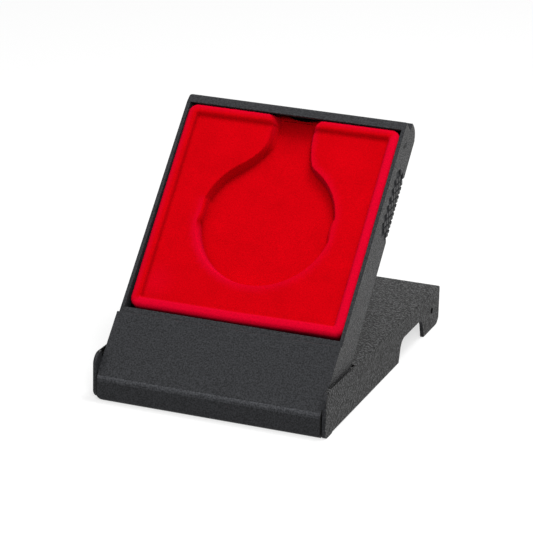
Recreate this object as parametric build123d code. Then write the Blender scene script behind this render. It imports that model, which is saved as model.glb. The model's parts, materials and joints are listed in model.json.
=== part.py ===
from build123d import *
import math
import os

# A folding case for one medal or coin, set up as its own easel: the cover lies open side down, and
# the tray turns on two pegs between the cover's ears and leans back on the cover's plate.
# Everything is shaped closed, in the case's frame: X across, Y from the hinge end along the plate,
# Z = 0 on the plate's outer face and the room for the tray below it. Then the case is set up: the
# tray is turned about its hinge, and both are levelled on the table. Sizes in mm, angles in degrees.

# Cover
case_width = 86.5
case_length = 119.0
hinge_end_depth = 16.5
free_end_depth = 14.4
side_wall = 1.3
plate_thickness = 1.2
end_wall = 1.4
end_wall_depth = 7.0
cutout_length = 28.9
ear_corner = 4.0
plate_end_corner = 0.8
free_end_corner = 4.0
cover_edge_radius = 0.4
ear_relief_width = 0.7
ear_relief_depth = 1.4
ear_relief_start = 5.0
foot_drop = 0.5
left_foot_corner = 4.8
right_foot_corner = 2.0
foot_heel = 6.2
foot_ramp = 1.0

# Hinge pegs and latch
hinge_setback = 10.4
hinge_depth = 7.7
peg_diameter = 3.4
peg_engagement = 2.8
peg_clearance = 0.05
peg_chamfer = 0.3
socket_wall = 1.5
latch_setback = 8.8
latch_depth = 7.2
latch_hole_diameter = 2.3
latch_nub_diameter = 1.7
latch_nub_height = 0.2
latch_nub_round = 0.18

# Finger notches in the cover's side walls, and the knurled grips that they bare on the tray
notch_setback = 30.9
notch_length = 27.4
notch_height = 8.0
notch_draft = 16.0
notch_corner = 4.5
grip_pitch = 3.35
grip_columns = 7
grip_height = 7.9
grip_depth = 0.5
grip_groove = 0.15
grip_flank = 30.0

# Tray
tray_side_gap = 0.35
chin_side_gap = 0.2
rim_gap = 0.25
chin_gap = 0.6
tray_end_gap = 0.8
back_inset = 0.15
tray_wall = 1.3
ledge_width = 2.5
lip_reach = 3.8
lip_drop = 0.8
lip_thickness = 1.0
lip_edge_radius = 1.2
lip_corner = 1.5
ridge_inset = 0.15
ridge_gap = 0.3
tray_end_corner = 5.0

# Chin, the tray's front that stands on the table side of the hinge
chin_wall = 1.5
chin_reach = 0.8
chin_bend = 3.0
chin_toe = 2.0
chin_heel = 1.5
chin_step_edge = 0.5
chin_left_corner = 3.2
chin_right_corner = 0.8
bulkhead = 2.0
rib = 1.2
rib_pitch = 20.2
rib_count = 3
rib_recess = 1.5
table_gap = 0.1
lean_gap = 0.1

# Flocked insert
sheet = 0.8
insert_side_gap = 0.5
insert_shift = 0.3
insert_near_gap = 1.8
insert_far_gap = 0.1
insert_corner = 3.5
field_corner = 1.0
crown_depth = 0.15
crown_radius = 1.2
border_width = 3.4
border_height = 1.5
border_slope = 30.0
recess_diameter = 50.4
recess_depth = 3.6
recess_from_lip = 41.2
lobe_radius = 20.0
lobe_height = 1.1
neck_width = 15.4
neck_shoulder = 7.5
neck_flare = 4.5
tongue_width = 18.8
tongue_reach = 1.9
scoop_width = 12.0
scoop_depth = 1.2
scoop_shift = 1.6

# What follows from them
wedge = (hinge_end_depth - free_end_depth) / case_length
inner_half = case_width / 2 - side_wall
tray_half = inner_half - tray_side_gap
chin_half = inner_half - chin_side_gap
rim_z = -plate_thickness - rim_gap
chin_end = cutout_length - chin_gap
ledge_end = chin_end + ledge_width
end_wall_face = case_length - end_wall
tray_end = end_wall_face - tray_end_gap
lip_edge = tray_end - lip_reach
ridge_face = case_length - ridge_inset
ridge_top = -end_wall_depth - ridge_gap
hinge = (hinge_setback, -hinge_depth)
latch = (case_length - latch_setback, -latch_depth)
notch_centre = case_length - notch_setback
below = 2 * hinge_end_depth
beyond = case_width


def turned(y, z, angle):
    """A (y, z) direction or point turned by angle, from Y towards Z."""
    c, s = math.cos(math.radians(angle)), math.sin(math.radians(angle))
    return y * c - z * s, y * s + z * c


def crossing(start, direction, other, other_direction):
    """Where two lines in the YZ plane cross."""
    det = direction[0] * other_direction[1] - direction[1] * other_direction[0]
    dy, dz = other[0] - start[0], other[1] - start[1]
    along = (dy * other_direction[1] - dz * other_direction[0]) / det
    return start[0] + along * direction[0], start[1] + along * direction[1]


def free_edge(y, up=0.0):
    """A (y, z) point at a height above the line of the cover's free edges."""
    return y, wedge * y - hinge_end_depth + up


# The cover stands on its feet and on the far ends of its free edges
foot_point = free_edge(foot_heel, -foot_drop)
tail_point = free_edge(case_length - free_end_corner)
table_tilt = math.degrees(math.atan2(tail_point[1] - foot_point[1], tail_point[0] - foot_point[0]))
table_ahead = turned(1, 0, table_tilt)
table_up = turned(0, 1, table_tilt)
table_start = crossing(foot_point, table_ahead, (0, 0), table_up)

# The tray leans until its back meets the outer edge of the plate's cut-out
back_slope = math.degrees(math.atan(wedge))
back_under_hinge = free_edge(hinge_setback, hinge_depth + back_inset)[1]
back_from_hinge = -back_under_hinge * math.cos(math.radians(back_slope))
stop_y, stop_z = cutout_length - hinge_setback, hinge_depth
stop_turn = math.degrees(math.asin((back_from_hinge + lean_gap) / math.hypot(stop_y, stop_z)))
lean = math.degrees(math.atan2(stop_z, stop_y)) + stop_turn - back_slope
stop_on_tray = hinge_setback + turned(stop_y, stop_z, -lean)[0]
tray_ahead = turned(*table_ahead, -lean)
tray_up = turned(*table_up, -lean)


def set_up_point(ahead, up):
    """Point of the closed tray that, set up, lies ahead of the ears' front and up from the table."""
    y = table_start[0] + ahead * table_ahead[0] + up * table_up[0] - hinge[0]
    z = table_start[1] + ahead * table_ahead[1] + up * table_up[1] - hinge[1]
    y, z = turned(y, z, -lean)
    return hinge[0] + y, hinge[1] + z


def profile(*corners):
    """Face in the YZ plane from (y, z) corners, or (y, z, radius) where a corner is rounded."""
    radii = [corner[2] if len(corner) > 2 else 0 for corner in corners]
    outline = FilletPolyline(*[corner[:2] for corner in corners], radius=radii, close=True)
    return Plane.YZ * make_face(outline)


def across(face, half):
    """A YZ face made into a solid that reaches the same distance to both sides."""
    return extrude(face, amount=half, both=True)


def between(x0, x1, y0, y1, z0, z1):
    """Box between its limits."""
    return Pos((x0 + x1) / 2, (y0 + y1) / 2, (z0 + z1) / 2) * Box(abs(x1 - x0), y1 - y0, z1 - z0)


def rod(diameter, x0, x1, centre):
    """Cylinder along X about a (y, z) centre."""
    return Pos((x0 + x1) / 2, *centre) * Rot(0, 90, 0) * Cylinder(diameter / 2, abs(x1 - x0))


def notch_face():
    """Finger notch from the free edge upwards: drafted sides, round corners, flat top."""
    lean_in = notch_height * math.tan(math.radians(notch_draft))
    left, right = notch_centre - notch_length / 2, notch_centre + notch_length / 2
    return profile(
        free_edge(left - lean_in, -notch_height),
        (*free_edge(left + lean_in, notch_height), notch_corner),
        (*free_edge(right - lean_in, notch_height), notch_corner),
        free_edge(right + lean_in, -notch_height),
    )


def cover_side(corner):
    """Side view of the cover's underside: its foot, with a corner in front, and its free edge."""
    return profile(
        (0, beyond),
        (*crossing(foot_point, table_ahead, (0, 0), (0, 1)), corner),
        foot_point,
        free_edge(foot_heel + foot_ramp),
        (*free_edge(case_length), free_end_corner),
        (case_length, beyond),
    )


def cover_shell():
    """Cover with its ears and feet, hollow below the plate, open in front and under the end wall."""
    tall = profile((0, 0, ear_corner), (case_length, 0, plate_end_corner), (case_length, -below), (0, -below))
    block = across(tall, case_width / 2)
    long_edges = block.edges().filter_by(Axis.Y).sort_by(Axis.Z)[-2:]
    block = fillet(long_edges, cover_edge_radius)
    sides = extrude(cover_side(left_foot_corner), amount=-beyond)
    sides += extrude(cover_side(right_foot_corner), amount=beyond)
    room = between(-inner_half, inner_half, -beyond, end_wall_face, -below, -plate_thickness)
    room += between(-inner_half, inner_half, -beyond, case_length + beyond, -below, -end_wall_depth)
    room += between(-inner_half, inner_half, -beyond, cutout_length, -below, beyond)
    relieved = inner_half + ear_relief_width
    room += between(-relieved, relieved, ear_relief_start, cutout_length, -ear_relief_depth, beyond)
    return (block & sides) - room


def hinge_peg(side):
    """Peg on the inner face of an ear."""
    root = side * (inner_half + side_wall / 2)
    tip = side * (chin_half - peg_engagement)
    peg = rod(peg_diameter, root, tip, hinge)
    return chamfer(peg.edges().sort_by(Axis.X)[0 if side > 0 else -1], peg_chamfer)


def make_cover():
    """Cover, closed, with its finger notches, latch holes and hinge pegs."""
    cover = cover_shell() - across(notch_face(), beyond)
    for side in (-1, 1):
        cover -= rod(latch_hole_diameter, side * tray_half, side * beyond, latch)
        cover += hinge_peg(side)
    return cover


def chin_corners(inset=0.0):
    """Toe and bend of the chin, drawn in by a wall."""
    toe = set_up_point(inset - chin_reach, inset + table_gap)
    bend = crossing(toe, tray_up, (0, -inset), (1, 0))
    return toe, bend


def tray_block():
    """Closed outer form of the tray, with the wider chin between the ears."""
    toe, bend = chin_corners()
    heel = crossing(toe, tray_ahead, free_edge(0, back_inset), (1, wedge))
    back_at_step = free_edge(chin_end, back_inset)
    chin = profile(
        (*toe, chin_toe),
        (*bend, chin_bend),
        (chin_end, 0, chin_step_edge),
        back_at_step,
        (*heel, chin_heel),
    )
    body = profile(
        free_edge(hinge_setback, back_inset),
        (hinge_setback, rim_z),
        (lip_edge, rim_z),
        (tray_end, rim_z - lip_drop, lip_edge_radius),
        free_edge(tray_end, back_inset),
    )
    ridge = profile(
        free_edge(hinge_setback, back_inset),
        (hinge_setback, ridge_top),
        (ridge_face, ridge_top, ridge_inset),
        (*free_edge(ridge_face, back_inset), tray_end_corner),
    )
    body_length = tray_end - hinge_setback
    plan = Pos(0, hinge_setback + body_length / 2) * RectangleRounded(2 * tray_half, body_length, lip_corner)
    block = across(chin, chin_half) + across(ridge, tray_half)
    block += across(body, tray_half) & extrude(plan, amount=-below)
    front = Plane(origin=(0, *toe), x_dir=(1, 0, 0), z_dir=(0, -tray_ahead[0], -tray_ahead[1]))
    outline = Pos(0, case_length) * Rectangle(2 * chin_half, 2 * case_length)
    for side, corner in ((0, chin_left_corner), (-1, chin_right_corner)):
        outline = fillet(outline.vertices().group_by(Axis.Y)[0].sort_by(Axis.X)[side], corner)
    return block & extrude(front * outline, amount=2 * case_length, both=True)


def tray_room():
    """Room for the insert: open between ledge and lip, and running on under the lip."""
    floor_up = back_inset + tray_wall
    start = stop_on_tray + bulkhead / 2
    under_ledge = rim_z - tray_wall
    under_lip = rim_z - lip_thickness
    end_y, ridge_y = tray_end - tray_wall, ridge_face - tray_wall
    lip_slope = lip_drop / lip_reach
    room = profile(
        (ledge_end, plate_thickness),
        (ledge_end, under_ledge),
        (start, under_ledge),
        free_edge(start, floor_up),
        (*free_edge(ridge_y, floor_up), tray_end_corner - tray_wall),
        (ridge_y, ridge_top - tray_wall),
        (end_y, ridge_top - tray_wall),
        (end_y, under_lip - lip_slope * (end_y - lip_edge)),
        (lip_edge, under_lip),
        (lip_edge, plate_thickness),
    )
    return across(room, tray_half - tray_wall)


def chin_pocket():
    """Hollow behind the chin, open at the back, less its ribs."""
    toe, bend = chin_corners(chin_wall)
    end = stop_on_tray - bulkhead / 2
    room = profile(toe, (*bend, chin_bend - chin_wall), (end, -chin_wall), (end, -below), (toe[0], -below))
    pocket = across(room, chin_half - tray_wall)
    for index in range(rib_count):
        x = (index - (rib_count - 1) / 2) * rib_pitch
        plate = between(x - rib / 2, x + rib / 2, toe[0], end, -below, 0)
        pocket -= plate & (Pos(0, 0, rib_recess) * tray_block())
    return pocket


def hinge_socket(side):
    """Boss inside the chin's side wall for an ear's peg."""
    inner = side * (chin_half - peg_engagement - peg_clearance)
    return rod(peg_diameter + 2 * socket_wall, side * (chin_half - tray_wall / 2), inner, hinge)


def latch_nub(side):
    """Low round-topped nub that springs into the hole in the cover's side wall."""
    root, tip = side * (tray_half - tray_wall / 2), side * (tray_half + latch_nub_height)
    nub = rod(latch_nub_diameter, root, tip, latch)
    return fillet(nub.edges().sort_by(Axis.X)[-1 if side > 0 else 0], latch_nub_round)


def grip_recess(side):
    """What is cut from the tray's side for a grip: a field of square cells that stand on a corner.

    The cells in the top row and at the ends of the rows are empty, and the others keep a stud.
    """
    cell = grip_pitch / math.sqrt(2)
    stud_foot = cell - grip_groove
    row_step = grip_pitch / 2
    empty = Rot(0, 0, 45) * Rectangle(cell, cell)
    stud = extrude(Rot(0, 0, 45) * Rectangle(stud_foot, stud_foot), amount=grip_depth, taper=grip_flank)
    field, studs = Sketch(), Part()
    for row in range(math.ceil(grip_height / row_step) + 1):
        shifted = row % 2
        last = grip_columns - 1 + shifted
        for column in range(last + 1):
            place = Pos((column - last / 2) * grip_pitch, side * (grip_height - row * row_step))
            field += place * empty
            if row > 0 and not (shifted and column in (0, last)):
                studs += place * stud
    middle = (side * (tray_half - grip_depth), *free_edge(notch_centre))
    side_plane = Plane(origin=middle, x_dir=(0, 1, wedge), z_dir=(side, 0, 0))
    return side_plane * (extrude(field, amount=2 * grip_depth) - studs)


def recess_face(grow=0.0):
    """Plan of the coin recess and its neck: circle, two lobes, shoulders and flare."""
    centre = lip_edge - recess_from_lip
    radius = recess_diameter / 2 + grow
    lobe_x = recess_diameter / 2 - lobe_height + lobe_radius
    half = neck_width / 2 + grow
    mouth = lip_edge - insert_far_gap - grow
    neck = Pos(0, (centre + mouth) / 2) * Rectangle(2 * half, mouth - centre)
    outside = Pos(0, mouth + neck_flare) * Rectangle(2 * tongue_width, 2 * neck_flare)
    face = Pos(0, centre) * Circle(radius) + neck + outside
    past_neck = (half + radius) / 2
    for pair, corner in ((slice(0, 2), neck_shoulder), (slice(-2, None), neck_flare)):
        neck_corners = face.vertices().filter_by_position(Axis.X, -past_neck, past_neck).sort_by(Axis.Y)
        face = fillet(neck_corners[pair], corner - grow)
    for side in (-1, 1):
        face -= Pos(side * lobe_x, centre) * Circle(lobe_radius - grow)
    return face


def insert_form(inset=0.0):
    """Body under the formed sheet's surface, drawn in by a distance all round."""
    near = ledge_end + insert_near_gap
    far = lip_edge - insert_far_gap
    half = tray_half - tray_wall - insert_side_gap
    crown = rim_z - crown_depth - inset
    field = crown - border_height
    middle = Pos(0, (near + far) / 2)
    outer = middle * RectangleRounded(2 * (half - inset), far - near - 2 * inset, insert_corner - inset)
    body = Pos(0, 0, crown) * extrude(outer, amount=-below)
    body = fillet(body.faces().sort_by(Axis.Z)[-1].edges(), crown_radius - inset / 2)
    edge = border_width - inset
    inner = middle * RectangleRounded(2 * (half - edge), far - near - 2 * edge, field_corner + inset)
    slope = extrude(Pos(0, 0, field) * inner, amount=2 * border_height, taper=-border_slope)
    recess = Pos(0, 0, field - recess_depth) * extrude(recess_face(inset), amount=below)
    return body - slope - recess


def neck_tongue():
    """End of the neck's floor that runs on under the tray's lip, with a scooped edge."""
    floor = rim_z - crown_depth - border_height - recess_depth
    start, end = lip_edge - insert_far_gap - sheet, lip_edge - insert_far_gap + tongue_reach
    scoop = (scoop_width ** 2 / 4 + scoop_depth ** 2) / (2 * scoop_depth)
    plan = Pos(0, (start + end) / 2) * Rectangle(tongue_width, end - start)
    plan -= Pos(scoop_shift, end + scoop - scoop_depth) * Circle(scoop)
    return Pos(0, 0, floor - sheet) * extrude(plan, amount=sheet)


def make_insert():
    """Insert in the closed tray: the form's shell down to the tray's floor, and its tongue."""
    floor_up = back_inset + tray_wall
    room = profile((0, 0), (case_length, 0), free_edge(case_length, floor_up), free_edge(0, floor_up))
    insert = (insert_form() & across(room, beyond)) - insert_form(sheet) + neck_tongue()
    return Pos(insert_shift, 0, 0) * insert


def make_tray():
    """Tray, closed, with its hollows, hinge sockets, latch nubs and grips."""
    tray = tray_block() - tray_room() - chin_pocket()
    for side in (-1, 1):
        tray += hinge_socket(side)
        bore_end = side * (chin_half - 2 * peg_engagement)
        tray -= rod(peg_diameter + 2 * peg_clearance, side * inner_half, bore_end, hinge)
        tray += latch_nub(side)
        tray -= grip_recess(side)
    return tray


def set_up(piece, leaning):
    """Piece of the closed case as it stands on the table, with the ears' front edge near Y = 0."""
    if leaning:
        piece = piece.rotate(Axis((0, *hinge), (1, 0, 0)), lean)
    return (Pos(0, -table_start[0], -table_start[1]) * piece).rotate(Axis.X, -table_tilt)


case = {
    "cover_shell": set_up(make_cover(), leaning=False),
    "tray_shell": set_up(make_tray(), leaning=True),
    "flocked_insert": set_up(make_insert(), leaning=True),
}

# The part's origin is the middle of its footprint, on the table
extent = Compound(list(case.values())).bounding_box()
to_origin = Pos(-extent.center().X, -extent.center().Y, -extent.min.Z)
os.makedirs("parts", exist_ok=True)
for name, piece in case.items():
    export_step(to_origin * piece, f"parts/{name}.step")
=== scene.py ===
"""Looks of a folding coin display case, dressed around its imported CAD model."""
import json
import math

import bpy
import numpy as np
from mathutils import Matrix, Vector
from mathutils.geometry import delaunay_2d_cdt


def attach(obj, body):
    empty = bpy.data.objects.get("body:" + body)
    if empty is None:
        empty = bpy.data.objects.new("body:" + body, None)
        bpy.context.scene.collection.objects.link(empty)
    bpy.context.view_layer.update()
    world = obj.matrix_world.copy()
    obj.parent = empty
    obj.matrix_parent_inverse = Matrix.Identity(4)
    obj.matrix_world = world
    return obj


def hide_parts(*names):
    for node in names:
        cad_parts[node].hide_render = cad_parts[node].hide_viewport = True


MM = 0.001

# Camera: where it looks, in mm in the frame, and from where, in degrees and mm
AIM = (1.92, -11.19, 39.85)
AZIMUTH = 21.67
ELEVATION = 20.54
ROLL = 0.854
DISTANCE = 1004.1
LENS = 192.6
SENSOR = 36
CLIP_START = 0.01

# Light: the world's share, and how white the floor is by itself
WORLD_LIGHT = 0.42
FLOOR_GLOW = 0.68
FLOOR_MATT = 0.35
FLOOR_REACH = 4.0

# Lamps: name, place in m, side in m and power in W. All shine at one point.
LAMP_TARGET = (0, 0, 0.04)
LAMPS = (
    ("key_above", (0.2, 0.12, 0.9), 0.3, 4.5),
    ("key_front", (0.40, -0.68, 0.60), 0.25, 3.4),
    ("fill_left", (-0.6, -0.4, 0.7), 0.5, 1.0),
)

# Plastics: grey between the pebbles, colour of the pebbles, their size in mm and their share of the
# grain, whose rest is fine sand
COVER_PLASTIC = {"low": 0.010, "high": (0.088, 0.0887, 0.0905), "grain_size": 0.8, "grain_share": 0.85}
TRAY_PLASTIC = {"low": 0.045, "high": (0.145, 0.146, 0.149), "grain_size": 0.5, "grain_share": 0.6}
SMOOTH_SKIN = (0.0270, 0.0279, 0.0305)
# Painted shade: near black painted into holes, slots and gaps
PAINTED_SHADE_BLACK = (0.003, 0.003, 0.003, 1)
PEBBLE_WARP = 0.9
PEBBLE_SMOOTHNESS = 0.4
PEBBLE_STEEPNESS = 1.5
SAND_SCALE = 1900
GRAIN_RANGE = (0.30, 0.52)
SPECK_RANGE = (0.35, 0.65, 0.5, 1.5)
EDGE_BEVEL = 0.00025
GRAIN_HEIGHT = 0.0004
SMOOTH_BUMP = 0.1
GRAIN_BUMP = 0.85
PLASTIC_ROUGHNESS = 0.5
PLASTIC_SPECULAR = 0.12

# Where the plastics change, by how far a face turns to one side, and in m in the frame at rest,
# with x from the middle
FACING = 0.5
FACING_SQUARELY = 0.9
COVER_INNER_X = 0.0422
TRAY_OUTER_X = 0.0412
# Places of painted black shade: the latch holes, the slots in the ears, the chin's ends and a spot beside
# each latch nub
LATCH_HOLE = (0, 0.05094, 0.00738)
LATCH_HOLE_RADIUS = 0.00119
EAR_SLOT_X = 0.04314
EAR_SLOT_Y = (-0.0545, -0.0300)
EAR_SLOT_Z = (0.01480, 0.02)
TRAY_SHADE_X = 0.0414
CHIN_END_Y = -0.0530
CHIN_END_Z = (0.0018, 0.0105)
LATCH_SPOT_Y = (0.01733, 0.01913)
LATCH_SPOT_Z = (0.08003, 0.08113)

# Painted highlight on the chin's bend and painted shade below it, by how far its faces turn up: from, to
# and what is added between them
CHIN_PAINTED_LIGHT = ((0.05, 0.62, 0.5), (0.28, 0.62, 0.5), (-0.5, 0.05, -0.1))

# Flock: the field's two reds, the painted highlight and sheen on the crowns, the painted shade in the
# creases
FIELD_DEEP = (0.52, 0.0001, 0.0026, 1)
FIELD_BRIGHT = (0.67, 0.0001, 0.0042, 1)
# Painted highlight and sheen: the pale red that the pile turns to where light catches it
PAINTED_HIGHLIGHT_RED = (0.69, 0.0008, 0.020, 1)
# Painted shade: the dark red that the pile turns to in creases, hollows and under the lip
PAINTED_SHADE_RED = (0.06, 0.0, 0.0005, 1)
CLOUD_SCALE = 110
FIBRE_SCALE = 2400
FIBRE_RANGE = (0.3, 0.7, 0.82, 1.12)
FIBRE_HEIGHT = 0.00015
FIBRE_BUMP = 0.4
FLOCK_SURFACE = {
    "Roughness": 1.0,
    "Specular IOR Level": 0.02,
    "Sheen Weight": 0.25,
    "Sheen Roughness": 0.4,
    "Sheen Tint": (1.0, 0.01, 0.12, 1),
}

# Flocked insert, in mm: the sizes of the CAD solid that it replaces, but for the lobes and the
# neck's edges, which follow the photo more closely
INSERT_WIDTH = 79.6
INSERT_LENGTH = 80.3
NEAR_TO_CENTRE = 39.2
OUTER_CORNER = 3.5
FIELD_CORNER = 1.0
BORDER = 3.4
BORDER_HEIGHT = 1.5
RECESS_RADIUS = 25.2
RECESS_DEPTH = 3.6
LOBE_RADIUS = 20.0
LOBE_HEIGHT = 0.6
LOBE_RISE = 1.0
NECK_LEFT = 7.8
NECK_RIGHT = 7.4
NECK_FLARE = 0.8
FLARE_RUN = 10
FLARE_END = 1.3
SHOULDER_RADIUS = 7.5
MOUTH_RADIUS = 4.5
MOUTH_BEYOND = 0.8
SKIRT_DEPTH = 6.95
FLOOR_SLOPE = 0.01765
TONGUE_HALF = 9.4
TONGUE_REACH = 1.9
TONGUE_THICKNESS = 0.8
TONGUE_OVERLAP = 0.3
TONGUE_CHAMFER = 0.1
SCOOP_WIDTH = 12.0
SCOOP_DEPTH = 1.2
SCOOP_SHIFT = 1.6

# Chamfer on the recess's right shoulder, in mm: its ends as (x, s), how far it is cut, its fillets
SHOULDER_TOP = (7.4, 29.7)
SHOULDER_FOOT = (12.2, 21.2)
CHAMFER_ABOVE = 1.5
CHAMFER_FROM = 10
CHAMFER_TO_NECK = 4.0
CHAMFER_TO_RECESS = 0.8

# Forming of the insert's sheet, in mm: widths of its walls, and its soft edges. TOP and FOOT say
# how round a wall is there, for rise(). Lobes and neck change the wall where they are.
WALL_IN = 0.95
WALL_OUT = 0.25
WALL_TOP = 1.7
WALL_FOOT = 0.25
LOBE_LEAN = 0.5
NECK_LEAN = 1.5
NECK_ROUND = 0.4
NECK_START = (25, 30)
SLOPE_RUN = 0.75
SLOPE_TOP = 2.0
SLOPE_FOOT = 0.3
EDGE_ROUND = 1.5

# Slight unevenness of the sheet: height in mm, then length in mm and phase each way
WAVE_HEIGHT = 0.05
WAVE_X = (9.0, 0.7)
WAVE_S = (11.0, 1.9)

# Where the lobes' walls lean back, in mm: start, full, fading and end along s, and the least
# distance from the recess's centre
LEFT_LOBE = (-4.2, -2.4, 4.9, 5.6)
RIGHT_LOBE = (-4.5, -2.5, 3.0, 5.0)
LOBE_FROM = 18

# Trim of the sheet, in mm: how far its edges stand out past the true rectangle. The whole of it is
# reached over a run, (start from the centre, length). The left edge stands out more towards the far
# end, (least, what is added) over (start before the centre, length, curve). The hinge edge stands
# out less towards the right, (most, what is taken off).
TRIM_RUN_X = (26, 10)
TRIM_RUN_S = (27, 9)
LEFT_TRIM = (0.07, 0.74)
LEFT_TRIM_RUN = (32, 66, 0.8)
RIGHT_TRIM = 0.12
HINGE_TRIM = (0.57, 0.5)
HINGE_TRIM_RUN = 29

# Painted highlight and sheen on the pile, in mm: width of the mitre between the border's lit and shaded
# sides, the start and run of the painted highlight on each side's crown, a paler patch in the corner, and
# the bands along the recess's edge
MITRE = 1.5
SHADED_SIDE_HIGHLIGHT = (0.3, 2.2)
LIT_SIDE_HIGHLIGHT = (0.3, 0.6)
FIELD_EDGE = (-0.2, 0.6)
PALE_PATCH_PLACE = (-33, -29)
PALE_PATCH_WIDTH = 5.5
PALE_PATCH_SHARE = 0.25
RIM_BAND = (0.5, 1.3)
RIM_START = (-0.3, 0.3)
LIT_WALL_BAND = (-1.3, -0.8, 0, 0.6)

# Painted shade in the creases, in mm and shares: along the border's foot, on the recess's wall and foot,
# and in the neck by the place up the slope, less at its sides by (share, half width, curve)
FAR_GROOVE = 0.2
LEFT_GROOVE = 0.35
GROOVE_BAND = (-0.4, 0.45)
RAMP_SHADE = 0.15
RAMP_RUN = 3
RAMP_CURVE = 1.5
RAMP_END = (0.1, 0.6)
SHADED_WALL_BAND = (-1.5, -0.9, -0.1, 0.2)
FOOT_FADE = 1.2
LOBE_FOOT_LESS = 0.5
FOOT_START = (0.5, 1.0)
NECK_SHADE_START = (-1.2, 0.8)
NECK_SHADE = ((26, 0), (32, 0.16), (36, 0.25), (40, 0.43), (42, 0.5))
NECK_SIDES = (0.25, 8, 3)

# Painted light and shade on the pile round the recess, by degrees from its right side: highlight on the
# rim, lit wall, shaded wall, shade at the foot
RIM_LIGHT = (
    (0, 0.45), (20, 0.3), (40, 0.45), (60, 0.5), (75, 0.5), (85, 0.5), (95, 0.15), (110, 0),
    (165, 0), (171, 0.5), (180, 0.6), (230, 0.75), (270, 0.5), (300, 0.45), (360, 0.45),
)
WALL_LIGHT = (
    (0, 0), (62, 0), (75, 0.5), (85, 0.3), (95, 0.3), (101, 0.2), (103, 0),
    (188, 0), (196, 0.8), (205, 1), (250, 1), (280, 0.5), (330, 0), (360, 0),
)
WALL_SHADE = (
    (0, 0), (10, 0.1), (40, 0.35), (62, 0.35), (70, 0.15), (80, 0), (95, 0.05), (102, 0.3),
    (165, 0.3), (188, 0.25), (194, 0), (360, 0),
)
FOOT_SHADE = (
    (0, 0.05), (10, 0.12), (20, 0.3), (40, 0.42), (55, 0.5), (65, 0.3), (75, 0.1), (95, 0.05), (103, 0.45),
    (110, 0.5), (150, 0.55), (188, 0.55), (195, 0.45), (215, 0.3), (240, 0.15), (270, 0.06), (360, 0.05),
)

# Mesh of the insert, in mm: rows of points on its round edge, its border's slope (in shares of the
# slope's half run) and the recess's wall (by distance from its edge), and the steps along the rows
EDGE_ROWS = (0, 0.05, 0.15, 0.3, 0.5, 0.75, 1.1, EDGE_ROUND)
SLOPE_ROWS = (-4, -2.8, -1.8, *np.linspace(-1, 1, 9))
WALL_ROWS = (-5.0, -3.9, -3.1, -2.4, -2.0, -1.7, -1.4, -1.2, -1, -0.8, -0.6, -0.4, -0.2, -0.05,
             0.1, 0.25, 0.45, 0.7, 1.1)
POINT_SPACING = 2.0
RING_STEP = 0.8
ARC_PIECES_PER_MM = 6
RECESS_ARC_END = 50
RECESS_TURN = 1.0
NECK_STEP = 0.35
HALVINGS = 30
SKIRT_ROWS = 6
TONGUE_COLUMNS = 40
MERGE_WITHIN = 1e-4
OUTSIDE_BY = 1e-3

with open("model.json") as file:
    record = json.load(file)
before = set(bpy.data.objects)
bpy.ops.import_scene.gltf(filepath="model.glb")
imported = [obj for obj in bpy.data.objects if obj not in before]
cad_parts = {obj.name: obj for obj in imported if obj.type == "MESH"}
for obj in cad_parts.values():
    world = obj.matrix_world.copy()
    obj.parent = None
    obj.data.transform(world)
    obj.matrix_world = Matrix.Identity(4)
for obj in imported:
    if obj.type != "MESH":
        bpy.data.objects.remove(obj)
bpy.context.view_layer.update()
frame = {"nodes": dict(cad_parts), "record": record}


# ---------------------------------------------------------------- camera, lights, floor
def add_camera():
    az, el, roll = (math.radians(angle) for angle in (AZIMUTH, ELEVATION, ROLL))
    back = Vector((math.sin(az) * math.cos(el), -math.cos(az) * math.cos(el), math.sin(el)))
    right = back.cross(Vector((0, 0, -1))).normalized()
    up = back.cross(right)
    turned_right = right * math.cos(roll) + up * math.sin(roll)
    turned_up = up * math.cos(roll) - right * math.sin(roll)
    data = bpy.data.cameras.new("camera")
    data.lens = LENS
    data.sensor_width = SENSOR
    data.clip_start = CLIP_START
    camera = bpy.data.objects.new("camera", data)
    axes = Matrix((turned_right, turned_up, back)).transposed().to_4x4()
    camera.matrix_world = Matrix.Translation((Vector(AIM) + back * DISTANCE) * MM) @ axes
    bpy.context.scene.collection.objects.link(camera)
    bpy.context.scene.camera = camera


def add_lamp(name, place, side, power):
    data = bpy.data.lights.new(name, "AREA")
    data.shape = "RECTANGLE"
    data.size = data.size_y = side
    data.energy = power
    lamp = bpy.data.objects.new(name, data)
    lamp.location = place
    lamp.rotation_euler = (Vector(LAMP_TARGET) - Vector(place)).to_track_quat("-Z", "Y").to_euler()
    bpy.context.scene.collection.objects.link(lamp)


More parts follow.
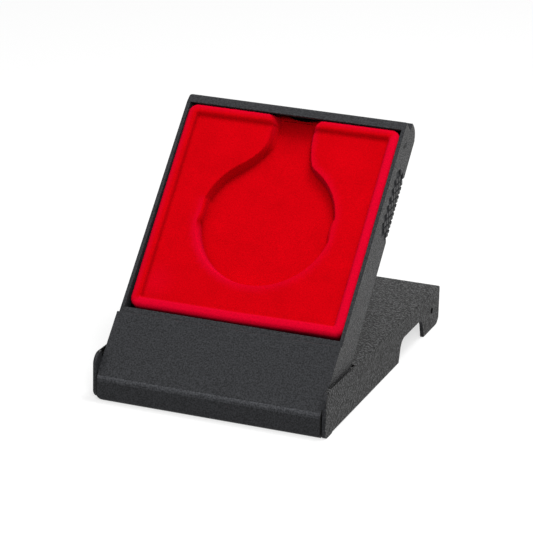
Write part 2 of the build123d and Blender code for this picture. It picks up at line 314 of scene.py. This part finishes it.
class Paint:
    """A node tree that is being built."""

    def __init__(self, owner):
        owner.use_nodes = True
        self.tree = owner.node_tree
        self.tree.nodes.clear()

    def add(self, kind, inputs=(), **settings):
        """New node with its settings, and its inputs set to a value or linked to a socket."""
        node = self.tree.nodes.new("ShaderNode" + kind)
        for key, value in settings.items():
            setattr(node, key, value)
        for key, value in dict(inputs).items():
            if isinstance(value, bpy.types.NodeSocket):
                self.tree.links.new(value, node.inputs[key])
            else:
                node.inputs[key].default_value = value
        return node

    def math(self, operation, *values):
        return self.add("Math", dict(enumerate(values)), operation=operation).outputs[0]

    def both(self, a, b):
        return self.math("MULTIPLY", a, b)

    def either(self, a, b):
        return self.math("MAXIMUM", a, b)

    def within(self, value, low, high):
        """1 where the value lies between low and high."""
        above = self.math("GREATER_THAN", value, low)
        return self.both(above, self.math("LESS_THAN", value, high))

    def split(self, vector):
        """The three parts of a vector."""
        return self.add("SeparateXYZ", {0: vector}).outputs

    def scaled(self, vector, factor):
        return self.add("VectorMath", {0: vector, "Scale": factor}, operation="SCALE").outputs[0]

    def blend(self, share, a, b):
        inputs = {"Factor": share, "A": a, "B": b}
        return self.add("Mix", inputs, data_type="RGBA").outputs["Result"]

    def ramp(self, value, low, high, start=0.0, end=1.0):
        """From start where the value is low to end where it is high."""
        inputs = {"Value": value, "From Min": low, "From Max": high, "To Min": start, "To Max": end}
        return self.add("MapRange", inputs).outputs[0]

    def noise(self, place, scale, detail):
        inputs = {"Vector": place, "Scale": scale, "Detail": detail}
        return self.add("TexNoise", inputs).outputs["Fac"]

    def normal(self):
        """The three parts of the face's own normal."""
        return self.split(self.add("TexCoord").outputs["Normal"])

    def seen_directly(self):
        """1 for what the camera sees, also in gloss and through glass."""
        path = self.add("LightPath").outputs
        seen = self.either(path["Is Camera Ray"], path["Is Glossy Ray"])
        return self.either(seen, path["Is Transmission Ray"])

    def finish(self, kind, shader):
        """Link a shader to the tree's output."""
        self.add(kind, {"Surface": shader.outputs[0]})


def grey(value):
    return (value, value, value, 1)


def add_world():
    """White studio: it lights the object softly and shows as white."""
    world = bpy.data.worlds.new("studio")
    paint = Paint(world)
    light = paint.add("Background", {"Color": grey(1), "Strength": WORLD_LIGHT})
    seen = paint.add("Background", {"Color": grey(1), "Strength": 1.0})
    mix = {0: paint.seen_directly(), 1: light.outputs[0], 2: seen.outputs[0]}
    paint.finish("OutputWorld", paint.add("MixShader", mix))
    bpy.context.scene.world = world


def add_floor():
    """White floor that shows as white to the camera and keeps the object's soft shadow."""
    material = bpy.data.materials.new("floor_white")
    paint = Paint(material)
    matt = paint.add("BsdfDiffuse", {"Color": grey(FLOOR_MATT)})
    glow = paint.add("Emission", {"Strength": FLOOR_GLOW})
    sum_of_both = paint.add("AddShader", {0: matt.outputs[0], 1: glow.outputs[0]})
    mix = {0: paint.seen_directly(), 1: matt.outputs[0], 2: sum_of_both.outputs[0]}
    paint.finish("OutputMaterial", paint.add("MixShader", mix))
    corners = [(x * FLOOR_REACH, y * FLOOR_REACH, 0) for x, y in ((-1, -1), (1, -1), (1, 1), (-1, 1))]
    mesh = bpy.data.meshes.new("floor")
    mesh.from_pydata(corners, [], [(0, 1, 2, 3)])
    mesh.materials.append(material)
    floor = bpy.data.objects.new("floor", mesh)
    bpy.context.scene.collection.objects.link(floor)


# ---------------------------------------------------------------- materials
def leather(paint, place, size):
    """Height of a leather grain, 0 in its valleys to 1 on its pebbles, size in mm."""
    warp = paint.add("TexNoise", {"Vector": place, "Scale": PEBBLE_WARP / (size * MM), "Detail": 1.0})
    centred = paint.add("VectorMath", {0: warp.outputs["Color"], 1: (0.5, 0.5, 0.5)}, operation="SUBTRACT")
    moved = paint.scaled(centred.outputs[0], PEBBLE_WARP * size * MM)
    warped = paint.add("VectorMath", {0: place, 1: moved}, operation="ADD")
    inputs = {"Vector": warped.outputs[0], "Scale": 1 / (size * MM), "Smoothness": PEBBLE_SMOOTHNESS}
    cells = paint.add("TexVoronoi", inputs, feature="SMOOTH_F1").outputs["Distance"]
    return paint.math("SUBTRACT", 1.0, paint.math("MULTIPLY", cells, PEBBLE_STEEPNESS))


def plastic(name, low, high, grain_size, grain_share, mask_of, painted_shade_of, painted_light_of):
    """Black moulded plastic: leather grain where its mask is 1, fine sand where it is 0, painted black
    shade in holes and gaps, and, where a part has it, painted highlight and shade on the smooth skin.
    """
    material = bpy.data.materials.new(name)
    paint = Paint(material)
    place = paint.add("TexCoord").outputs["Object"]
    mask = mask_of(paint, place)
    pebbles = leather(paint, place, grain_size)
    sand = paint.noise(place, SAND_SCALE, 2.0)
    height = paint.math("MULTIPLY_ADD", pebbles, grain_share, paint.math("MULTIPLY", sand, 1 - grain_share))
    grained = paint.blend(paint.ramp(height, *GRAIN_RANGE), grey(low), (*high, 1))
    # Painted highlight and shade on the smooth skin, times its fine speckle
    speck_and_painted_light = paint.math("MULTIPLY", paint.ramp(sand, *SPECK_RANGE), painted_light_of(paint))
    colour = paint.blend(mask, paint.scaled(SMOOTH_SKIN, speck_and_painted_light), grained)
    colour = paint.blend(painted_shade_of(paint, place), colour, PAINTED_SHADE_BLACK)
    rounded = paint.add("Bevel", {"Radius": EDGE_BEVEL}, samples=4).outputs[0]
    strength = paint.math("MULTIPLY_ADD", mask, GRAIN_BUMP, SMOOTH_BUMP)
    bump = {"Height": height, "Distance": GRAIN_HEIGHT, "Strength": strength, "Normal": rounded}
    surface = {
        "Base Color": colour,
        "Roughness": PLASTIC_ROUGHNESS,
        "Specular IOR Level": PLASTIC_SPECULAR,
        "Normal": paint.add("Bump", bump).outputs[0],
    }
    paint.finish("OutputMaterial", paint.add("BsdfPrincipled", surface))
    return material


def cover_mask(paint, place):
    """The cover is grained outside, and smooth inside and on the ears' front edges."""
    across, ahead, up = paint.normal()
    x = paint.math("ABSOLUTE", paint.split(place)[0])
    facing_down = paint.math("LESS_THAN", up, -FACING)
    facing_front = paint.math("LESS_THAN", ahead, -FACING)
    facing_side = paint.math("GREATER_THAN", paint.math("ABSOLUTE", across), FACING)
    inner = paint.both(facing_side, paint.math("LESS_THAN", x, COVER_INNER_X))
    smooth = paint.either(facing_down, facing_front)
    return paint.math("SUBTRACT", 1.0, paint.either(smooth, inner))


def tray_mask(paint, place):
    """The tray is grained on its sides."""
    across = paint.normal()[0]
    x = paint.math("ABSOLUTE", paint.split(place)[0])
    facing_side = paint.math("GREATER_THAN", paint.math("ABSOLUTE", across), FACING_SQUARELY)
    return paint.both(facing_side, paint.math("GREATER_THAN", x, TRAY_OUTER_X))


def cover_painted_shade(paint, place):
    """Painted shade: black inside the latch holes, and in the clearance in the ears beside the tray."""
    x, y, z = paint.split(place)
    x = paint.math("ABSOLUTE", x)
    beside = paint.add("CombineXYZ", {1: y, 2: z}).outputs[0]
    away = paint.add("VectorMath", {0: beside, 1: LATCH_HOLE}, operation="DISTANCE").outputs["Value"]
    slot = paint.both(paint.math("LESS_THAN", x, EAR_SLOT_X), paint.within(z, *EAR_SLOT_Z))
    slot = paint.both(slot, paint.within(y, *EAR_SLOT_Y))
    return paint.either(paint.math("LESS_THAN", away, LATCH_HOLE_RADIUS), slot)


def tray_painted_shade(paint, place):
    """Painted shade: black on the ends of the chin inside the ears, and on a small spot beside each latch
    nub.
    """
    x, y, z = paint.split(place)
    outer = paint.math("GREATER_THAN", paint.math("ABSOLUTE", x), TRAY_SHADE_X)
    chin_end = paint.both(paint.within(z, *CHIN_END_Z), paint.math("LESS_THAN", y, CHIN_END_Y))
    latch_spot = paint.both(paint.within(y, *LATCH_SPOT_Y), paint.within(z, *LATCH_SPOT_Z))
    return paint.both(paint.either(chin_end, latch_spot), outer)


# No painted light: the smooth skin keeps its colour
def no_painted_light(paint):
    return 1.0


def chin_painted_light(paint):
    """Painted highlight on the chin where it bends, and painted shade below the bend."""
    _, ahead, up = paint.normal()
    change = 0.0
    for low, high, amount in CHIN_PAINTED_LIGHT:
        change = paint.math("MULTIPLY_ADD", paint.within(up, low, high), amount, change)
    facing_front = paint.math("LESS_THAN", ahead, -FACING)
    return paint.math("ADD", paint.both(facing_front, change), 1.0)


def flock_material():
    """Short red flock: mottled in the field, a painted highlight and sheen on the crowns and round the
    recess, painted shade in the creases.
    """
    material = bpy.data.materials.new("red_flock")
    paint = Paint(material)
    place = paint.add("TexCoord").outputs["Object"]
    # Painted highlight and sheen, and painted shade, come as attributes of the insert's mesh
    painted_highlight = paint.add("Attribute", attribute_name="painted_highlight").outputs["Fac"]
    painted_shade = paint.add("Attribute", attribute_name="painted_shade").outputs["Fac"]
    cloud = paint.noise(place, CLOUD_SCALE, 3.0)
    fibre = paint.noise(place, FIBRE_SCALE, 3.0)
    field = paint.blend(cloud, FIELD_DEEP, FIELD_BRIGHT)
    shaded = paint.blend(painted_shade, paint.blend(painted_highlight, field, PAINTED_HIGHLIGHT_RED), PAINTED_SHADE_RED)
    colour = paint.scaled(shaded, paint.ramp(fibre, *FIBRE_RANGE))
    bump = {"Height": fibre, "Distance": FIBRE_HEIGHT, "Strength": FIBRE_BUMP}
    surface = {"Base Color": colour, "Normal": paint.add("Bump", bump).outputs[0], **FLOCK_SURFACE}
    paint.finish("OutputMaterial", paint.add("BsdfPrincipled", surface))
    return material


# ---------------------------------------------------------------- the flocked insert's form
# Its plan is drawn in mm from the recess's centre: x across, s up the slope
FAR = INSERT_LENGTH - NEAR_TO_CENTRE
MIDDLE = INSERT_LENGTH / 2 - NEAR_TO_CENTRE
HALF_X = INSERT_WIDTH / 2
HALF_S = INSERT_LENGTH / 2


def round_box(x, s, half_x, half_s, radius):
    """Signed distance in mm from the edge of a rounded rectangle, negative inside."""
    qx, qs = np.abs(x) - (half_x - radius), np.abs(s) - (half_s - radius)
    outside = np.hypot(np.maximum(qx, 0), np.maximum(qs, 0))
    return outside + np.minimum(np.maximum(qx, qs), 0) - radius


def round_union(a, b, radius):
    """Union of two signed distances with a fillet of that radius in the corner between them."""
    corner = np.hypot(np.minimum(a - radius, 0), np.minimum(b - radius, 0))
    return np.maximum(radius, np.minimum(a, b)) - corner


def recess_distance(x, s):
    """Signed distance from the edge of the recess with its neck, negative inside."""
    circle = np.hypot(x, s) - RECESS_RADIUS
    lobe_x = RECESS_RADIUS - LOBE_HEIGHT + LOBE_RADIUS
    for side in (-1, 1):
        lobe = np.hypot(x - side * lobe_x, s - LOBE_RISE) - LOBE_RADIUS
        circle = np.maximum(circle, -lobe)
    flare = NECK_RIGHT + NECK_FLARE * np.clip((s - SHOULDER_TOP[1]) / FLARE_RUN, 0, FLARE_END)
    neck = np.maximum(np.maximum(x - flare, -NECK_LEFT - x), -s)
    left = round_union(circle, neck, SHOULDER_RADIUS)
    along = np.subtract(SHOULDER_FOOT, SHOULDER_TOP)
    along = along / np.hypot(*along)
    chamfer = along[0] * (s - SHOULDER_TOP[1]) - along[1] * (x - SHOULDER_TOP[0])
    chamfer = np.maximum(chamfer, np.maximum(s - SHOULDER_TOP[1] - CHAMFER_ABOVE, CHAMFER_FROM - s))
    right = round_union(circle, round_union(neck, chamfer, CHAMFER_TO_NECK), CHAMFER_TO_RECESS)
    mouth = FAR + MOUTH_BEYOND - s
    return round_union(np.where(x < 0, left, right), mouth, MOUTH_RADIUS)


def rise(t, top, bottom):
    """0 below a wall and 1 above it, with a round top edge and a tighter round foot."""
    t = np.clip(t, 0, 1)
    foot = np.clip(t / bottom, 0, 1)
    return (1 - (1 - t) ** top) * foot * foot * (3 - 2 * foot)


def bell(value, centre, width):
    return np.exp(-(((value - centre) / width) ** 2))


def step(value, start, end):
    """0 before the start and 1 past the end, with a soft change between them."""
    t = np.clip((value - start) / (end - start), 0, 1)
    return t * t * (3 - 2 * t)


def band(value, start, full, fading, end):
    """1 from full to fading and 0 outside start to end, with soft changes between them."""
    return step(value, start, full) * step(-value, -end, -fading)


def from_table(value, table):
    """Value from a table of (place, value), with straight lines between its rows."""
    return np.interp(value, *zip(*table))


def round_the_recess(x, s, table):
    """Value from a table by degrees from the right, at a point's direction from the centre."""
    return from_table(np.degrees(np.arctan2(s, x)) % 360, table)


def lobe_share(x, s):
    """1 where the recess wall leans back at its two lobes, 0 elsewhere."""
    lobes = band(s, *LEFT_LOBE) * (x < 0) + band(s, *RIGHT_LOBE) * (x > 0)
    return lobes * (np.hypot(x, s) > LOBE_FROM)


def neck_shade(x, s):
    """Painted shade on the floor of the neck under the tray's lip."""
    less, half_width, curve = NECK_SIDES
    sides = 1 - less * np.clip(np.abs(x) / half_width, 0, 1) ** curve
    return from_table(s, NECK_SHADE) * sides


def surface_height(x, s, outer, inner, wall):
    """Height in mm above the recess's floor."""
    lobe, neck = lobe_share(x, s), step(s, *NECK_START)
    slope = (inner + SLOPE_RUN) / (2 * SLOPE_RUN)
    level = RECESS_DEPTH + BORDER_HEIGHT * rise(slope, SLOPE_TOP, SLOPE_FOOT)
    fall = np.clip(EDGE_ROUND + outer, 0, EDGE_ROUND)
    level = level - (EDGE_ROUND - np.sqrt(EDGE_ROUND ** 2 - fall ** 2))
    wave = WAVE_HEIGHT * np.sin(x / WAVE_X[0] + WAVE_X[1]) * np.sin(s / WAVE_S[0] + WAVE_S[1])
    run_in = WALL_IN + LOBE_LEAN * lobe + NECK_LEAN * neck * (x < 0)
    run_out = WALL_OUT + NECK_ROUND * neck
    t = (wall + run_in) / (run_in + run_out)
    return (level + wave) * rise(t, WALL_TOP + lobe, WALL_FOOT)


def painted_highlight_share(x, s, outer, inner, wall, lit):
    """Share of painted highlight and sheen on the pile: on the border's crowns and round the recess; also a
    paler patch in the corner.
    """
    shaded_side = np.clip(1 - (-outer - SHADED_SIDE_HIGHLIGHT[0]) / SHADED_SIDE_HIGHLIGHT[1], 0, 1)
    lit_side = np.clip((inner + LIT_SIDE_HIGHLIGHT[0]) / LIT_SIDE_HIGHLIGHT[1], 0, 1)
    border = step(wall, *FIELD_EDGE) * (shaded_side * (1 - lit) + lit_side * lit)
    # A paler patch in the corner, added to the painted highlight
    pale_patch = bell(np.hypot(x - PALE_PATCH_PLACE[0], s - PALE_PATCH_PLACE[1]), 0, PALE_PATCH_WIDTH)
    pale_patch = PALE_PATCH_SHARE * pale_patch * step(-inner, 0, 1)
    rim = bell(wall, *RIM_BAND) * step(wall, *RIM_START) * round_the_recess(x, s, RIM_LIGHT)
    lit_wall = band(wall, *LIT_WALL_BAND) * round_the_recess(x, s, WALL_LIGHT)
    return np.maximum(np.maximum(border, pale_patch), np.maximum(rim, lit_wall))


def painted_shade_share(x, s, inner, wall, lit):
    """Share of painted shade on the pile: along the border's foot, on the recess's wall and foot, in the
    neck.
    """
    lobe = lobe_share(x, s)
    # Painted shade along the border's foot, less near the far edge than on the left
    groove_shade = np.where(FAR - s < x + HALF_X, FAR_GROOVE, LEFT_GROOVE)
    groove = groove_shade * bell(inner, *GROOVE_BAND) * (1 - lit)
    ramp = RAMP_SHADE * np.clip((inner + RAMP_RUN) / RAMP_RUN, 0, 1) ** RAMP_CURVE
    ramp = ramp * step(-inner, *RAMP_END) * lit
    border = step(wall, *FIELD_EDGE) * np.maximum(groove, ramp)
    shaded_wall = band(wall, *SHADED_WALL_BAND) * round_the_recess(x, s, WALL_SHADE) * (1 - lobe)
    foot = np.exp(-np.clip(-WALL_IN - wall, 0, None) / FOOT_FADE) * step(-wall, *FOOT_START)
    foot = foot * round_the_recess(x, s, FOOT_SHADE) * (1 - LOBE_FOOT_LESS * lobe)
    neck = neck_shade(x, s) * step(-wall, *NECK_SHADE_START)
    return np.maximum(np.maximum(border, np.maximum(shaded_wall, foot)), neck)


def insert_surface(x, s):
    """Height in mm of the flocked surface above the recess floor, and its shares of painted highlight and
    painted shade.
    """
    outer = round_box(x, s - MIDDLE, HALF_X, HALF_S, OUTER_CORNER)
    inner = round_box(x, s - MIDDLE, HALF_X - BORDER, HALF_S - BORDER, FIELD_CORNER)
    wall = recess_distance(x, s)
    from_shaded = np.minimum(x + HALF_X, FAR - s)
    from_lit = np.minimum(HALF_X - x, s + NEAR_TO_CENTRE)
    lit = np.clip(0.5 + (from_shaded - from_lit) / MITRE, 0, 1)
    height = surface_height(x, s, outer, inner, wall)
    painted_highlight = painted_highlight_share(x, s, outer, inner, wall, lit)
    return height, painted_highlight, painted_shade_share(x, s, inner, wall, lit)


def settled(x, s):
    """Where a point of the plan lies in the sheet, whose edges were trimmed a little out of true."""
    near_left = np.clip((-x - TRIM_RUN_X[0]) / TRIM_RUN_X[1], 0, 1)
    near_right = np.clip((x - TRIM_RUN_X[0]) / TRIM_RUN_X[1], 0, 1)
    near_hinge = np.clip((-s - TRIM_RUN_S[0]) / TRIM_RUN_S[1], 0, 1)
    before, run, curve = LEFT_TRIM_RUN
    left = LEFT_TRIM[0] + LEFT_TRIM[1] * np.clip((s + before) / run, 0, 1) ** curve
    hinge = HINGE_TRIM[0] - HINGE_TRIM[1] * np.clip(x / HINGE_TRIM_RUN, 0, 1)
    return x - left * near_left + RIGHT_TRIM * near_right, s - hinge * near_hinge


# ---------------------------------------------------------------- the flocked insert's mesh
def edge_of_recess(offset, side):
    """Edge of the recess on one side, from its lowest point to the far edge, at an offset outwards."""

    def crossing(inside, outside):
        """Where the offset edge crosses a line that starts inside it, or None."""
        low, high = np.array(inside, float), np.array(outside, float)
        if recess_distance(*low) >= offset or recess_distance(*high) < offset:
            return None
        for _ in range(HALVINGS):
            middle = (low + high) / 2
            if recess_distance(*middle) < offset:
                low = middle
            else:
                high = middle
        return tuple(low)

    reach = RECESS_RADIUS + 2
    points = []
    for angle in np.radians(np.arange(-90, RECESS_ARC_END, RECESS_TURN)):
        points.append(crossing((0, 0), (side * math.cos(angle) * reach, math.sin(angle) * reach)))
    for s in np.arange(points[-1][1] + NECK_STEP, FAR, NECK_STEP):
        points.append(crossing((0, s), (side * reach, s)))
    return [point for point in points if point]


def ring_of_box(half_x, half_s, radius):
    """Closed polyline of a rounded rectangle about the insert's middle."""
    pieces_of_arc = max(4, int(radius * ARC_PIECES_PER_MM))
    arcs = []
    for side_x, side_s, start in ((1, -1, -90), (1, 1, 0), (-1, 1, 90), (-1, -1, 180)):
        angles = np.radians(np.linspace(start, start + 90, pieces_of_arc + 1))
        xs = side_x * (half_x - radius) + radius * np.cos(angles)
        ss = side_s * (half_s - radius) + radius * np.sin(angles) + MIDDLE
        arcs.append(np.column_stack((xs, ss)))
    points = []
    for arc, following in zip(arcs, arcs[1:] + arcs[:1]):
        points.extend(map(tuple, arc))
        run = following[0] - arc[-1]
        pieces = int(np.linalg.norm(run) / RING_STEP)
        points.extend(tuple(arc[-1] + run * k / pieces) for k in range(1, pieces))
    return points


def insert_plan():
    """Triangles over the insert's plan, with rows of points along its edges, walls and slopes."""
    points, edges = [], []

    def add(polyline, closed):
        start = len(points)
        points.extend(polyline)
        edges.extend((start + k, start + k + 1) for k in range(len(polyline) - 1))
        if closed:
            edges.append((len(points) - 1, start))

    for inset in EDGE_ROWS:
        add(ring_of_box(HALF_X - inset, HALF_S - inset, OUTER_CORNER - inset), True)
    for share in SLOPE_ROWS:
        inset = BORDER - share * SLOPE_RUN
        radius = FIELD_CORNER + max(share, -1) * SLOPE_RUN
        add(ring_of_box(HALF_X - inset, HALF_S - inset, radius), True)
    for offset in WALL_ROWS:
        add(edge_of_recess(offset, -1)[:0:-1] + edge_of_recess(offset, 1), False)
    for x in np.arange(-HALF_X + POINT_SPACING / 2, HALF_X, POINT_SPACING):
        for s in np.arange(-NEAR_TO_CENTRE + POINT_SPACING / 2, FAR, POINT_SPACING):
            points.append((x, s))
    flat, _, triangles, *_ = delaunay_2d_cdt([Vector(p) for p in points], edges, [], 0, MERGE_WITHIN)
    flat = np.array([tuple(v) for v in flat])
    triangles = np.array(triangles)
    centres = flat[triangles].mean(1)
    outside = round_box(centres[:, 0], centres[:, 1] - MIDDLE, HALF_X, HALF_S, OUTER_CORNER)
    kept, triangles = np.unique(triangles[outside < OUTSIDE_BY], return_inverse=True)
    return flat[kept], triangles.reshape(-1, 3)


def add_skirt(vertices, triangles):
    """Walls from the outer edge down to the tray's floor, and the closed underside."""
    following = {}
    sides = {(a, b) for t in triangles for a, b in zip(t, (*t[1:], t[0]))}
    for a, b in sides:
        if (b, a) not in sides:
            following[a] = b
    loop = [next(iter(following))]
    while following[loop[-1]] != loop[0]:
        loop.append(following[loop[-1]])
    rows = [loop]
    for level in range(1, SKIRT_ROWS + 1):
        row = []
        for index in loop:
            x, s, h = vertices[index]
            base = -SKIRT_DEPTH + FLOOR_SLOPE * s
            vertices.append((x, s, h + (base - h) * level / SKIRT_ROWS))
            row.append(len(vertices) - 1)
        rows.append(row)
    faces = [tuple(t) for t in triangles]
    for upper, lower in zip(rows, rows[1:]):
        for k in range(len(loop)):
            n = (k + 1) % len(loop)
            faces.append((upper[n], upper[k], lower[k], lower[n]))
    faces.append(tuple(rows[-1]))
    return faces


def tongue():
    """End of the neck's floor that runs on under the tray's lip: points and faces."""
    start = FAR - TONGUE_OVERLAP
    scoop_radius = (SCOOP_WIDTH ** 2 / 4 + SCOOP_DEPTH ** 2) / (2 * SCOOP_DEPTH)
    points, faces = [], []
    for x in np.linspace(-TONGUE_HALF, TONGUE_HALF, TONGUE_COLUMNS + 1):
        across = x - SCOOP_SHIFT
        end = FAR + TONGUE_REACH
        if abs(across) < SCOOP_WIDTH / 2:
            end -= math.sqrt(scoop_radius ** 2 - across ** 2) - (scoop_radius - SCOOP_DEPTH)
        points += [
            (x, start, 0),
            (x, end - TONGUE_CHAMFER, 0),
            (x, end, -TONGUE_CHAMFER),
            (x, end, -TONGUE_THICKNESS),
            (x, start, -TONGUE_THICKNESS),
        ]
    ring = len(points) // (TONGUE_COLUMNS + 1)
    for column in range(TONGUE_COLUMNS):
        for k in range(ring):
            a, b = column * ring + k, column * ring + (k + 1) % ring
            faces.append((a, a + ring, b + ring, b))
    faces.append(tuple(range(ring)))
    faces.append(tuple(range(TONGUE_COLUMNS * ring, (TONGUE_COLUMNS + 1) * ring))[::-1])
    return points, faces


def add_insert():
    """The formed sheet in the place of its CAD node, laid by the record's coin seat."""
    seat = next(mount for mount in frame["record"]["mounts"] if mount["name"] == "coin_seat")
    out = Vector(seat["axis"]).normalized()
    across = Vector((1, 0, 0))
    axes = Matrix((across, out.cross(across), out)).transposed().to_4x4()
    flat, triangles = insert_plan()
    heights, painted_highlight, painted_shade = insert_surface(flat[:, 0], flat[:, 1])
    laid = np.column_stack(settled(flat[:, 0], flat[:, 1]))
    vertices = [(x, s, h) for (x, s), h in zip(laid, heights)]
    faces = add_skirt(vertices, triangles.tolist())
    # Painted shade: the skirt and the underside are painted fully dark
    painted_shade = np.append(painted_shade, np.full(len(vertices) - len(painted_shade), 1.0))
    more, more_faces = tongue()
    # The tongue takes the neck's painted shade under the lip
    painted_shade = np.append(painted_shade, neck_shade(*np.array(more)[:, :2].T))
    faces += [tuple(index + len(vertices) for index in face) for face in more_faces]
    vertices += more
    painted_highlight = np.append(painted_highlight, np.zeros(len(vertices) - len(painted_highlight)))
    mesh = bpy.data.meshes.new("insert_flocked")
    mesh.from_pydata(vertices, [], faces)
    for name, values in (("painted_highlight", painted_highlight), ("painted_shade", painted_shade)):
        layer = mesh.attributes.new(name, "FLOAT", "POINT")
        layer.data.foreach_set("value", values)
    mesh.transform(Matrix.Translation(seat["pos_m"]) @ axes @ Matrix.Scale(MM, 4))
    mesh.polygons.foreach_set("use_smooth", [True] * len(mesh.polygons))
    mesh.materials.append(flock_material())
    insert = bpy.data.objects.new("insert_flocked", mesh)
    bpy.context.scene.collection.objects.link(insert)
    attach(insert, "tray")
    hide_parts("flocked_insert")


def dress(node, material):
    piece = frame["nodes"][node]
    piece.data.materials.clear()
    piece.data.materials.append(material)


bpy.context.scene.view_settings.view_transform = "Standard"
add_camera()
add_world()
add_floor()
for lamp in LAMPS:
    add_lamp(*lamp)
cover_plastic = plastic(
    "cover_plastic", **COVER_PLASTIC, mask_of=cover_mask, painted_shade_of=cover_painted_shade, painted_light_of=no_painted_light)
tray_plastic = plastic(
    "tray_plastic", **TRAY_PLASTIC, mask_of=tray_mask, painted_shade_of=tray_painted_shade, painted_light_of=chin_painted_light)
dress("cover_shell", cover_plastic)
dress("tray_shell", tray_plastic)
add_insert()
